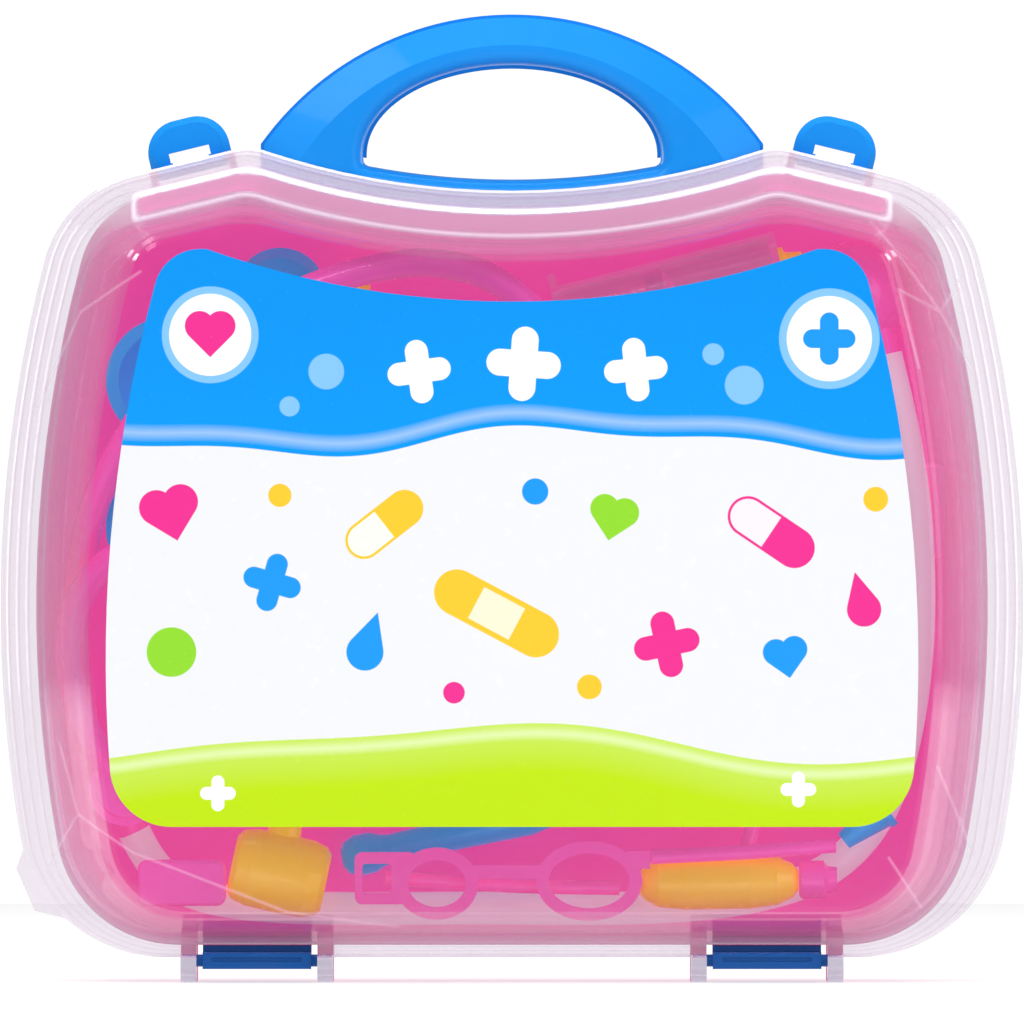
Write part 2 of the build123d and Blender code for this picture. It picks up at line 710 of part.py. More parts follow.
with BuildPart() as chest_diaphragm:
    with BuildSketch(facing(toy_back_y)):
        with Locations(chest_centre):
            Circle(diaphragm_radius)
    extrude(amount=toy_back_y - chest_back_y - diaphragm_play)
finish_piece(chest_diaphragm, "chest_diaphragm", white_colour)

# ---------------------------------------------------------------- reflex hammer
hammer_head_place = (-60.7, 17.1, 28.1)
hammer_end_place = (-40.6, 27.0, 187.0)
hammer_head_tilt = 12.0      # degrees
hammer_head_profile = (
    (0, 7.4), (1.4, 9.2), (5.0, 10.2), (12.5, 10.4), (20.0, 10.2), (23.6, 9.2), (25.0, 7.4),
)
hammer_socket_radius = 4.4
hammer_socket_length = 14.0
hammer_joint_gap = 0.1
hammer_neck_radius = 2.9
hammer_grip_radius = 4.4
hammer_grip_length = 50.0
hammer_grip_rise = 10.0      # the neck swells into the grip over this length
hammer_grip_round = 6.0
hammer_end_radius = 3.8
hammer_root = (30.0, 3.4)   # length and radius where the handle leaves its socket

hammer_across = Vector(
    math.cos(math.radians(hammer_head_tilt)), 0, -math.sin(math.radians(hammer_head_tilt)),
)
hammer_head_middle = Vector(*hammer_head_place)
hammer_end = Vector(*hammer_end_place)
hammer_axis = (hammer_end - hammer_head_middle).normalized()
hammer_start = hammer_head_middle + hammer_axis * (hammer_socket_length + hammer_joint_gap)
hammer_reach = (hammer_end - hammer_start).length
hammer_grip_start = hammer_reach - hammer_grip_length
hammer_handle_profile = (
    (0, hammer_root[1]), (hammer_root[0], hammer_neck_radius),
    (hammer_grip_start - hammer_grip_rise, hammer_neck_radius), (hammer_grip_start, hammer_end_radius),
    (hammer_reach - hammer_grip_round, hammer_grip_radius), (hammer_reach, hammer_end_radius),
)

with BuildPart() as hammer_head:
    head_start = hammer_head_middle - hammer_across * (hammer_head_profile[-1][0] / 2)
    turned(head_start, head_start + hammer_across, hammer_head_profile)
    turned(
        hammer_head_middle, hammer_end,
        ((0, hammer_socket_radius), (hammer_socket_length, hammer_socket_radius)),
    )
finish_piece(hammer_head, "hammer_head", yellow_colour)

with BuildPart() as hammer_handle:
    turned(hammer_start, hammer_end, hammer_handle_profile)
finish_piece(hammer_handle, "hammer_handle", yellow_colour)

# ---------------------------------------------------------------- otoscope
scope_centre = (-60.5, 179.0)
scope_head_profile = (
    (0, 9.0), (2.0, 12.2), (8.5, 12.2), (12.5, 9.6), (14.5, 6.4), (15.6, 5.4),
)
scope_grip_y = 26.6
scope_grip_top = (-60.0, 166.6)
scope_grip_end = (-62.0, 92.0)
scope_grip_profile = ((0, 3.6), (5, 3.6), (8, 4.6), (66, 4.9), (70, 5.4), (73, 4.6))
scope_cone_base = (97.4, 18.7, 45.2)
scope_cone_end = (85.0, 18.7, 35.2)
scope_cone_profile = ((0, 5.4), (1.6, 5.4), (2.4, 4.6), (14.0, 2.4))

with BuildPart() as otoscope_head:
    turned_forward(scope_centre, toy_back_y, scope_head_profile)
finish_piece(otoscope_head, "otoscope_head", blue_colour)

with BuildPart() as otoscope_handle:
    turned(
        (scope_grip_top[0], scope_grip_y, scope_grip_top[1]),
        (scope_grip_end[0], scope_grip_y, scope_grip_end[1]),
        scope_grip_profile,
    )
finish_piece(otoscope_handle, "otoscope_handle", blue_colour)

with BuildPart() as otoscope_cone:
    turned(scope_cone_base, scope_cone_end, scope_cone_profile)
finish_piece(otoscope_cone, "otoscope_cone", blue_colour)

# ---------------------------------------------------------------- thermometer
thermometer_start = (-44.4, 28.4, 31.6)
thermometer_toward = (60.0, 28.4, 54.0)
thermometer_profile = (
    (0, 2.4), (1.2, 4.2), (4, 5.4), (8, 5.4), (11, 4.2), (13, 3.8), (50, 4.4), (56, 3.2),
    (98, 2.6), (101, 3.4), (104, 3.2), (106, 1.6),
)

with BuildPart() as thermometer:
    turned(thermometer_start, thermometer_toward, thermometer_profile)
finish_piece(thermometer, "thermometer", blue_colour)

# ---------------------------------------------------------------- syringe
syringe_rise = 14.2          # degrees
barrel_place = (12.0, 172.4)
barrel_radius = 8.5
barrel_wall = 1.2
barrel_length = 60.0
barrel_end_wall = 1.0
bore_overrun = 1.0
flange_length = 24.0
flange_width = 16.0
flange_thickness = 2.0
plunger_out = 14.0           # plunger's pad outside the barrel at rest
piston_play = 0.3
nozzle_profile = ((0, 4.2), (1.2, 4.2), (1.6, 2.6), (6.0, 1.7))

syringe_axis = Vector(math.cos(math.radians(syringe_rise)), 0, math.sin(math.radians(syringe_rise)))
barrel_start = Vector(barrel_place[0], toy_back_y - barrel_radius, barrel_place[1])
barrel_end = barrel_start + syringe_axis * barrel_length
bore_radius = barrel_radius - barrel_wall
bore_length = barrel_length + bore_overrun - 2 * barrel_end_wall
piston_radius = bore_radius - piston_play
plunger_profile = (
    (0, 7.6), (2.0, 7.6), (2.4, 2.6), (38.0, 2.6), (38.4, piston_radius), (43.0, piston_radius), (45.5, 2.0),
)

with BuildPart() as syringe_barrel:
    turned(barrel_start, barrel_end, ((0, barrel_radius), (barrel_length, barrel_radius)))
    with BuildSketch(Plane(origin=barrel_start, x_dir=(0, 1, 0), z_dir=syringe_axis)):
        SlotOverall(flange_length, flange_width, rotation=90)
    extrude(amount=flange_thickness)
    turned(
        barrel_start - syringe_axis * bore_overrun, barrel_end,
        ((0, bore_radius), (bore_length, bore_radius)), mode=Mode.SUBTRACT,
    )
finish_piece(syringe_barrel, "syringe_barrel", clear_colour)

with BuildPart() as syringe_nozzle:
    turned(barrel_end, barrel_end + syringe_axis, nozzle_profile)
finish_piece(syringe_nozzle, "syringe_nozzle", yellow_colour)

with BuildPart() as syringe_plunger:
    turned(barrel_start - syringe_axis * plunger_out, barrel_end, plunger_profile)
finish_piece(syringe_plunger, "syringe_plunger", pink_colour)

# ---------------------------------------------------------------- blood pressure toy
cuff_centre = (87.5, 122.4)
cuff_size = (52.0, 25.5)
cuff_corner = 3.0
cuff_depth = 6.0
cuff_soft = 1.5
cuff_seam_span = 44.0
cuff_seam = (1.2, 19.0)
cuff_seam_depth = 0.8
gauge_centre = (84.0, 122.4)
gauge_profile = ((0, 10.0), (2.6, 10.0), (3.2, 9.4), (3.2, 8.4), (2.6, 8.4))
bulb_start = (33.1, 18.5, 25.4)
bulb_end = (74.7, 18.5, 26.2)
bulb_profile = (
    (0, 2.6), (1.4, 4.4), (5.0, 6.4), (12.0, 7.2), (29.0, 7.2), (36.0, 6.4), (40.2, 4.4), (41.6, 2.6),
)
valve_gap = 0.1
valve_profile = ((0, 4.0), (0.8, 5.0), (6.6, 5.0), (7.6, 3.6), (10.0, 3.2))
stem_radius = 2.0
stem_route = [
    (74.0, 31.0, 109.5), (74.6, 30.6, 86.0), (71.0, 27.0, 64.0), (64.5, 21.0, 46.0), (61.0, 18.6, 34.0),
]

with BuildPart() as pressure_cuff:
    with BuildSketch(facing(toy_back_y)):
        with Locations(cuff_centre):
            RectangleRounded(*cuff_size, cuff_corner)
    extrude(amount=cuff_depth)
    fillet(pressure_cuff.faces().sort_by(Axis.Y)[0].edges(), cuff_soft)
    with BuildSketch(facing(toy_back_y - cuff_depth)):
        with Locations(cuff_centre):
            with GridLocations(cuff_seam_span, 0, 2, 1):
                Rectangle(*cuff_seam)
    extrude(amount=-cuff_seam_depth, mode=Mode.SUBTRACT)
finish_piece(pressure_cuff, "pressure_cuff", pink_colour)

with BuildPart() as pressure_gauge:
    turned_forward(gauge_centre, toy_back_y - cuff_depth, gauge_profile)
finish_piece(pressure_gauge, "pressure_gauge", yellow_colour)

with BuildPart() as pressure_bulb:
    turned(bulb_start, bulb_end, bulb_profile)
finish_piece(pressure_bulb, "pressure_bulb", yellow_colour)

with BuildPart() as pressure_valve:
    bulb_axis = (Vector(*bulb_end) - Vector(*bulb_start)).normalized()
    valve_start = Vector(*bulb_end) + bulb_axis * valve_gap
    turned(valve_start, valve_start + bulb_axis, valve_profile)
finish_piece(pressure_valve, "pressure_valve", pink_colour)

with BuildPart() as pressure_stem:
    tube(stem_route, stem_radius)
finish_piece(pressure_stem, "pressure_stem", pink_colour)

# ---------------------------------------------------------------- toy glasses
glasses_y = 12.4
glasses_band = 3.3
ring_centres = ((-19.6, 25.4), (20.1, 26.1))
ring_half_sizes = ((10.8, 9.4), (13.8, 10.4))
bridge_centre = (-1.6, 28.4)
bridge_size = (20.0, 3.6)
end_lug_centre = (33.0, 31.6)
end_lug_size = (6.0, 4.6)
hinge_box_centre = (-33.0, 26.8)
hinge_box_size = (16.0, 13.6)
hinge_hole_centre = (-35.2, 26.8)
hinge_hole_size = (7.6, 7.6)
temple_radius = 1.9
temple_fold = 4.0            # folded temple behind the rings
right_temple = [(36.3, 12.4, 32.3), (60.0, 12.3, 33.4), (84.4, 12.4, 35.3)]
left_temple = [
    (-33.0, glasses_y + temple_fold, 27.0), (0.0, glasses_y + temple_fold, 24.6),
    (28.0, glasses_y + temple_fold, 24.2),
]

with BuildPart() as glasses_frame:
    with BuildSketch(facing(glasses_y + glasses_band / 2)):
        for centre, half in zip(ring_centres, ring_half_sizes):
            with Locations(centre):
                Ellipse(*half)
        for centre, size in ((bridge_centre, bridge_size), (end_lug_centre, end_lug_size)):
            with Locations(centre):
                Rectangle(*size)
        with Locations(hinge_box_centre):
            RectangleRounded(*hinge_box_size, 2.0)
        with Locations(hinge_hole_centre):
            RectangleRounded(*hinge_hole_size, 1.0, mode=Mode.SUBTRACT)
        for centre, half in zip(ring_centres, ring_half_sizes):
            with Locations(centre):
                Ellipse(half[0] - glasses_band, half[1] - glasses_band, mode=Mode.SUBTRACT)
    extrude(amount=glasses_band)
finish_piece(glasses_frame, "glasses_frame", pink_colour)

for name, route in (("right", right_temple), ("left", left_temple)):
    with BuildPart() as temple:
        tube(route, temple_radius)
    finish_piece(temple, f"glasses_temple_{name}", pink_colour)

# ---------------------------------------------------------------- scissors
scissors_pivot = (28.0, 112.0)
blade_thickness = 3.0
blade_layer_gap = 0.25
rivet_radius = 2.2
rivet_head_radius = 3.8
rivet_head_thickness = 1.2
loop_offset = (13.5, -38.0)
loop_half_size = (10.0, 12.0)
loop_band = 3.3
shank_outline = (
    (4.6, -31.0), (11.0, -28.0), (3.4, 3.0), (-3.0, 42.0), (-5.6, 44.0), (-7.4, 16.0), (-3.6, -3.0),
)


def scissor_half(hand):
    """Finger loop, shank and blade of one half, crossing at the pivot."""
    loop_place = (hand * loop_offset[0], loop_offset[1])
    with BuildSketch(mode=Mode.PRIVATE) as half:
        with Locations(loop_place):
            Ellipse(*loop_half_size)
        with BuildLine():
            Polyline(*[(hand * x, y) for x, y in shank_outline], close=True)
        make_face()
        with Locations(loop_place):
            Ellipse(loop_half_size[0] - loop_band, loop_half_size[1] - loop_band, mode=Mode.SUBTRACT)
    with Locations(scissors_pivot):
        add(half.sketch)


right_blade_back_y = toy_back_y - blade_thickness - blade_layer_gap
with BuildPart() as scissors_blade_left:
    with BuildSketch(facing(toy_back_y)):
        scissor_half(-1)
    extrude(amount=blade_thickness)
    rivet_front_y = right_blade_back_y - blade_thickness - blade_layer_gap
    with BuildSketch(facing(toy_back_y)):
        with Locations(scissors_pivot):
            Circle(rivet_radius)
    extrude(amount=toy_back_y - rivet_front_y + rivet_head_thickness)
    with BuildSketch(facing(rivet_front_y)):
        with Locations(scissors_pivot):
            Circle(rivet_head_radius)
    extrude(amount=rivet_head_thickness)
finish_piece(scissors_blade_left, "scissors_blade_left", green_colour)

with BuildPart() as scissors_blade_right:
    with BuildSketch(facing(right_blade_back_y)):
        scissor_half(1)
        with Locations(scissors_pivot):
            Circle(rivet_radius + pin_play, mode=Mode.SUBTRACT)
    extrude(amount=blade_thickness)
finish_piece(scissors_blade_right, "scissors_blade_right", green_colour)

# ---------------------------------------------------------------- tongue depressor
stick_centre = (-24.0, 112.0)
stick_size = (96.0, 15.0)
stick_tilt = 86.0
stick_thickness = 2.4
stick_hole_offset = (2.6, 37.5)
stick_hole_radius = 5.0

with BuildPart() as tongue_depressor:
    with BuildSketch(facing(toy_back_y)):
        with Locations(stick_centre):
            SlotOverall(*stick_size, rotation=stick_tilt)
            with Locations(stick_hole_offset):
                Circle(stick_hole_radius, mode=Mode.SUBTRACT)
    extrude(amount=stick_thickness)
finish_piece(tongue_depressor, "tongue_depressor", green_colour)

# ---------------------------------------------------------------- pill box
pill_box_centre = (-86.0, 25.6)
pill_box_size = (23.0, 12.0)
pill_box_corner = 2.5
pill_box_back_y = 24.0
pill_box_depth = 12.0
pill_box_wall = 1.4
pill_box_foot_round = 1.5
pill_lid_gap = 0.1
pill_lid_thickness = 2.2
pill_lid_round = 1.2
pill_box_front_y = pill_box_back_y - pill_box_depth

with BuildPart() as pill_box:
    with BuildSketch(facing(pill_box_back_y)):
        with Locations(pill_box_centre):
            RectangleRounded(*pill_box_size, pill_box_corner)
    extrude(amount=pill_box_depth)
    fillet(pill_box.faces().sort_by(Axis.Y)[-1].edges(), pill_box_foot_round)
    with BuildSketch(facing(pill_box_back_y - pill_box_wall)):
        with Locations(pill_box_centre):
            RectangleRounded(
                *[side - 2 * pill_box_wall for side in pill_box_size], pill_box_corner - pill_box_wall,
            )
    extrude(amount=pill_box_depth, mode=Mode.SUBTRACT)
finish_piece(pill_box, "pill_box", pink_colour)

with BuildPart() as pill_box_lid:
    with BuildSketch(facing(pill_box_front_y - pill_lid_gap)):
        with Locations(pill_box_centre):
            RectangleRounded(*pill_box_size, pill_box_corner)
    extrude(amount=pill_lid_thickness)
    fillet(pill_box_lid.faces().sort_by(Axis.Y)[0].edges(), pill_lid_round)
finish_piece(pill_box_lid, "pill_box_lid", pink_colour)
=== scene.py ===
"""Toy doctor case: a clear lid on a pink tub, blue fittings, a printed label and the toys inside.

The CAD frame gives each rigid piece its shape and place. This script gives the pieces their
finishes, lays the stethoscope's hose, and sets the floor, the lights and the camera. Lengths are
in metres, +X is to the right, +Y to the back and +Z up.
"""
import math

import bpy
from bpy.props import FloatProperty, FloatVectorProperty, PointerProperty
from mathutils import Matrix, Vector


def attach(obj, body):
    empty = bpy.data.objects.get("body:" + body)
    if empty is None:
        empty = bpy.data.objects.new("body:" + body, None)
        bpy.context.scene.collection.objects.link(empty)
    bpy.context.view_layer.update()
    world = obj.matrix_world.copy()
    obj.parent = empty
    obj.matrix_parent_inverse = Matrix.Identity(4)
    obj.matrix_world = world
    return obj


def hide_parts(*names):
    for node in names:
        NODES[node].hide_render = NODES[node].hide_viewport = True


bl_info = {
    "name": "Toy doctor case",
    "version": (1, 0, 0),
    "blender": (4, 5, 0),
    "location": "View3D > Sidebar > Doctor case",
    "description": "Finishes, hose, label and studio for a toy doctor case",
    "category": "Object",
}

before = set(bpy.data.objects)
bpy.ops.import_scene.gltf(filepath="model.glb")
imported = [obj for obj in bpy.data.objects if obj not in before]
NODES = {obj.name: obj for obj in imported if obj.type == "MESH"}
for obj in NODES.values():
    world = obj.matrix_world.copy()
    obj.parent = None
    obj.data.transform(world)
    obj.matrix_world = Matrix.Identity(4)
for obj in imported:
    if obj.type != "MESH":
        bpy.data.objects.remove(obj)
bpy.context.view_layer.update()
MM = 0.001
PER_METRE = 1000.0           # millimetres


# ---------------------------------------------------------------- settings
def colour_setting(name, about, default):
    """A colour that the user can change."""
    return FloatVectorProperty(
        name=name, description=about, default=default, size=3, min=0.0, max=1.0, subtype="COLOR",
    )


def length_setting(name, about, default):
    """A length in metres that the user can change."""
    return FloatProperty(name=name, description=about, default=default, min=0.0, unit="LENGTH")


def share_setting(name, about, default):
    """A share from 0 to 1 that the user can change."""
    return FloatProperty(name=name, description=about, default=default, min=0.0, max=1.0, subtype="FACTOR")


class CasePlastics(bpy.types.PropertyGroup):
    """Colours and clearness of the plastics."""

    clear: colour_setting("Clear", "Milky tint of the lid", (0.85, 0.83, 0.87))
    haze: share_setting("Haze", "How milky the lid is seen straight on", 0.02)
    edge_haze: share_setting("Edge haze", "How much milkier the lid is seen edge on", 0.06)
    rim_haze: share_setting("Rim haze", "How much milkier the rim and the lugs are", 0.15)
    pink: colour_setting("Pink", "The tub", (0.75, 0.082, 0.44))
    toy_pink: colour_setting("Toy pink", "Pink toys", (0.93, 0.075, 0.48))
    blue: colour_setting("Blue", "Handle and latches", (0.0, 0.27, 0.83))
    bar_blue: colour_setting("Bar blue", "Hinge bars", (0.0, 0.09, 0.36))
    toy_blue: colour_setting("Toy blue", "Blue toys", (0.0, 0.34, 0.82))
    yellow: colour_setting("Yellow", "Hammer, gauge, bulb and nozzle", (0.96, 0.56, 0.0))
    green: colour_setting("Green", "Scissors and tongue depressor", (0.20, 0.60, 0.03))
    white: colour_setting("White", "Ear tips and diaphragm", (0.84, 0.85, 0.87))


class LabelPrint(bpy.types.PropertyGroup):
    """Colours and heights of the printed label."""

    sky: colour_setting("Sky", "Upper field of the label", (0.0, 0.30, 0.88))
    paper: colour_setting("Paper", "Middle of the label", (0.80, 0.81, 0.83))
    hills: colour_setting("Hills", "Lower field of the label", (0.49, 0.73, 0.003))
    wave_height: length_setting("Wave", "Mean height of the sky's lower edge", 0.1405)
    hill_height: length_setting("Hill", "Mean height of the hills' upper edge", 0.0625)


class HoseSize(bpy.types.PropertyGroup):
    """Size of the stethoscope's hose."""

    radius: length_setting("Radius", "Radius of the hose", 0.0043)


class StudioSettings(bpy.types.PropertyGroup):
    """Floor, light and camera."""

    floor: colour_setting("Floor", "Colour of the floor", (0.93, 0.93, 0.935))
    floor_size: length_setting("Floor size", "Side of the square floor", 2.4)
    daylight: FloatProperty(name="Daylight", description="Strength of the even light", default=0.34, min=0.0)
    distance: length_setting("Distance", "Camera's distance from the case", 6.0)
    view_width: length_setting("View width", "Width of the view at the rim", 0.26624)
    view_height: length_setting("View height", "Height of the camera above the floor", 0.1222)


# ---------------------------------------------------------------- shader recipes
class Num:
    """A number in a shader. Arithmetic on it adds Math nodes to its recipe."""

    def __init__(self, recipe, socket):
        self.recipe = recipe
        self.socket = socket

    def __add__(self, other):
        return self.recipe.math("ADD", self, other)

    def __sub__(self, other):
        return self.recipe.math("SUBTRACT", self, other)

    def __rsub__(self, other):
        return self.recipe.math("SUBTRACT", other, self)

    def __mul__(self, other):
        return self.recipe.math("MULTIPLY", self, other)

    def __truediv__(self, other):
        return self.recipe.math("DIVIDE", self, other)

    def __rtruediv__(self, other):
        return self.recipe.math("DIVIDE", other, self)

    def __pow__(self, other):
        return self.recipe.math("POWER", self, other)

    def __abs__(self):
        return self.recipe.math("ABSOLUTE", self)

    __radd__ = __add__
    __rmul__ = __mul__

    def least(self, other):
        """The smaller of the two numbers."""
        return self.recipe.math("MINIMUM", self, other)

    def most(self, other):
        """The larger of the two numbers."""
        return self.recipe.math("MAXIMUM", self, other)

    def wave(self):
        """Sine of the number in radians."""
        return self.recipe.math("SINE", self)

    def clamped(self):
        """The number held between 0 and 1."""
        return self.recipe.math("MULTIPLY", self, 1.0, clamp=True)


class Recipe:
    """The nodes of one material."""

    def __init__(self, name):
        self.material = bpy.data.materials.new(name)
        self.material.use_nodes = True
        self.tree = self.material.node_tree
        self.tree.nodes.clear()

    def node(self, kind, settings=None, **sockets):
        """Add a node: its settings first, then the values or links of its sockets.

        A socket is named with _ for a space, or as s0, s1, ... by its place."""
        made = self.tree.nodes.new(kind)
        for key, value in (settings or {}).items():
            setattr(made, key, value)
        for key, value in sockets.items():
            place = int(key[1:]) if key[0] == "s" and key[1:].isdigit() else key.replace("_", " ")
            self.feed(made.inputs[place], value)
        return made

    def feed(self, socket, value):
        """Link a socket to another, or set its value."""
        if isinstance(value, Num):
            value = value.socket
        if isinstance(value, bpy.types.Node):
            value = value.outputs[0]
        if isinstance(value, bpy.types.NodeSocket):
            self.tree.links.new(value, socket)
        elif hasattr(value, "__len__") and len(value) == 3 and socket.type == "RGBA":
            socket.default_value = (*value, 1.0)
        else:
            socket.default_value = value

    def math(self, operation, *numbers, clamp=False):
        """A Math node on numbers."""
        sockets = {f"s{place}": number for place, number in enumerate(numbers)}
        made = self.node("ShaderNodeMath", {"operation": operation, "use_clamp": clamp}, **sockets)
        return Num(self, made.outputs[0])

    def mix(self, share, a, b):
        """A colour between two."""
        made = self.node(
            "ShaderNodeMix", {"data_type": "RGBA", "clamp_factor": True}, s0=share, s6=a, s7=b,
        )
        return made.outputs[2]

    def place(self):
        """The point's X, Y and Z in millimetres."""
        spot = self.node("ShaderNodeTexCoord").outputs["Object"]
        parts = self.node("ShaderNodeSeparateXYZ", Vector=spot).outputs
        return [Num(self, parts[i]) * PER_METRE for i in range(3)]

    def noise(self, scale, detail, roughness=0.5, distortion=0.0):
        """Cloudy noise from 0 to 1, with scale features to the metre."""
        spot = self.node("ShaderNodeTexCoord").outputs["Object"]
        made = self.node(
            "ShaderNodeTexNoise", Vector=spot, Scale=scale, Detail=detail, Roughness=roughness,
            Distortion=distortion,
        )
        return Num(self, made.outputs["Fac"])

    def bump(self, height, strength, distance):
        """A normal roughened by a height."""
        return self.node("ShaderNodeBump", Height=height, Strength=strength, Distance=distance).outputs[0]

    def finish(self, shader):
        """Send a shader to the output and return the material."""
        output = self.node("ShaderNodeOutputMaterial")
        self.tree.links.new(shader.outputs[0], output.inputs["Surface"])
        return self.material


def shade(colour, amount):
    """A colour made darker or lighter."""
    return tuple(min(1.0, channel * amount) for channel in colour)


def toward_white(colour, share):
    """A colour faded toward white."""
    return tuple(channel + (1.0 - channel) * share for channel in colour)


# scales of the plastics' noise, in features to the metre
CLOUD_SCALE, STREAK_SCALE, SCUFF_SCALE, PEEL_SCALE = 14.0, 70.0, 420.0, 1500.0
CLEAR_CLOUD_SCALE, CLEAR_SKIN_SCALE = 24.0, 130.0
HOSE_CLOUD_SCALE, HOSE_SKIN_SCALE = 45.0, 900.0

SOLID_IOR, CLEAR_IOR, SKIN_IOR, HOSE_IOR, LAMINATE_IOR = 1.46, 1.49, 1.45, 1.45, 1.3

STREAK_FLOOR, STREAK_SHARE = 0.55, 0.2       # streaks show where their noise passes the floor
SCUFF_FLOOR, SCUFF_ROUGHNESS = 0.58, 0.5     # so do scuffs


def gloss_plastic(name, colour, roughness, through=0.0, lit=0.0, coat=0.12):
    """Injection-moulded plastic: flow clouds in its colour, a fine orange-peel skin and faint scuffs.

    Through is the share of light that passes it, and lit is the strength of a painted glow in its own
    colour, which it emits though it is no lamp."""
    recipe = Recipe(name)
    cloud = recipe.noise(CLOUD_SCALE, 3.0)
    streak = recipe.noise(STREAK_SCALE, 4.0, distortion=0.8)
    base = recipe.mix(cloud, shade(colour, 0.92), toward_white(colour, 0.02))
    base = recipe.mix((streak - STREAK_FLOOR) * STREAK_SHARE, base, toward_white(colour, 0.15))
    scuffs = (recipe.noise(SCUFF_SCALE, 2.0, 0.6) - SCUFF_FLOOR).most(0.0) * SCUFF_ROUGHNESS
    skin = recipe.noise(PEEL_SCALE, 2.0)
    # painted glow: the plastic emits its own colour at the strength lit, though it is no lamp
    surface = recipe.node(
        "ShaderNodeBsdfPrincipled", Base_Color=base, Roughness=roughness + cloud * 0.06 + scuffs,
        IOR=SOLID_IOR, Coat_Weight=coat, Coat_Roughness=0.06,
        Normal=recipe.bump(skin, 0.10, 0.00012), Specular_Tint=toward_white(colour, 0.12),
        Emission_Color=shade(colour, 0.9), Emission_Strength=lit,
    )
    if not through:
        return recipe.finish(surface)
    glow = recipe.node("ShaderNodeBsdfTranslucent", Color=toward_white(colour, 0.06))
    return recipe.finish(recipe.node("ShaderNodeMixShader", s0=through, s1=surface, s2=glow))


# colours painted into the milk of clear plastic: painted shade, painted pink light from the tub, and painted
# highlights along thick edges
SHADE_PAINTED_MILK = (0.50, 0.485, 0.59)
PAINTED_TUB_PINK = (0.95, 0.48, 0.72)
PAINTED_EDGE_HIGHLIGHT = (0.82, 0.68, 0.78)
SEEN_THROUGH = (0.975, 0.97, 0.985)          # what clear plastic leaves of the light behind it
SKIN_COLOUR = (0.98, 0.98, 1.0)              # its reflections
# strength of the painted glow that the milk emits, though it is no lamp
MILK_GLOW = 0.45
SKIN_SHARE, SKIN_LIMIT = 0.9, 0.2            # of the Fresnel reflection, and the most of it


def clear_plastic(name, tint, haze, edge_haze, edge_tint, extra=None):
    """Clear moulded plastic: see-through seen straight on, milky seen edge on, with a glossy skin.

    Extra is a function of a recipe that gives more haze, and shares of the edge's tint, of painted shade, of
    painted pink light that the walls pick up from the tub, and of painted highlights along the edges."""
    recipe = Recipe(name)
    facing = Num(recipe, recipe.node("ShaderNodeLayerWeight", Blend=0.42).outputs["Facing"])
    cloud = recipe.noise(CLEAR_CLOUD_SCALE, 3.0)
    veil = haze + facing ** 2.4 * edge_haze + (cloud - 0.5) * 0.03
    tinted = facing ** 4.0
    colour = recipe.mix(cloud, shade(tint, 0.96), tint)
    # colour of the milk's painted glow; the extra mixes painted shade, painted pink light from the tub and
    # painted highlights into the milk and its glow
    painted_glow_colour = shade(tint, 0.25)
    if extra:
        more_haze, more_tint, painted_shade_share, painted_pink_share, painted_highlight_share = extra(recipe)
        veil = veil + more_haze
        tinted = tinted + more_tint
        colour = recipe.mix(painted_pink_share, recipe.mix(painted_shade_share, colour, SHADE_PAINTED_MILK), PAINTED_TUB_PINK)
        painted_glow_colour = recipe.mix(painted_pink_share, painted_glow_colour, shade(PAINTED_TUB_PINK, 0.45))
        painted_glow_colour = recipe.mix(painted_highlight_share, painted_glow_colour, PAINTED_EDGE_HIGHLIGHT)
    skin = recipe.bump(recipe.noise(CLEAR_SKIN_SCALE, 2.0), 0.06, 0.0006)
    through = recipe.node(
        "ShaderNodeMixShader", s0=tinted.clamped(),
        s1=recipe.node("ShaderNodeBsdfTransparent", Color=SEEN_THROUGH),
        s2=recipe.node("ShaderNodeBsdfTransparent", Color=edge_tint),
    )
    # the milk emits a painted glow though it is no lamp
    milk = recipe.node(
        "ShaderNodeBsdfPrincipled", Base_Color=colour, Roughness=0.16 + cloud * 0.06,
        IOR=CLEAR_IOR, Normal=skin, Emission_Color=painted_glow_colour, Emission_Strength=MILK_GLOW,
    )
    body = recipe.node("ShaderNodeMixShader", s0=veil.clamped(), s1=through, s2=milk)
    shine = Num(recipe, recipe.node("ShaderNodeFresnel", IOR=SKIN_IOR, Normal=skin).outputs[0])
    mirror = recipe.node(
        "ShaderNodeBsdfPrincipled", Base_Color=SKIN_COLOUR, Metallic=1.0, Roughness=0.09, Normal=skin,
    )
    shine = (shine * SKIN_SHARE).least(SKIN_LIMIT)
    return recipe.finish(recipe.node("ShaderNodeMixShader", s0=shine, s1=body, s2=mirror))


# HOSE_GLOW is the strength of the hose's painted glow, emitted in its own colour though it is no lamp
HOSE_GLOW = 0.3
HOSE_THROUGH, HOSE_CLEAR = 0.35, 0.2         # shares of light that pass it scattered and straight
HOSE_SCATTERED, HOSE_STRAIGHT = (0.93, 0.93, 0.95), (0.95, 0.93, 0.95)       # the colours of that light


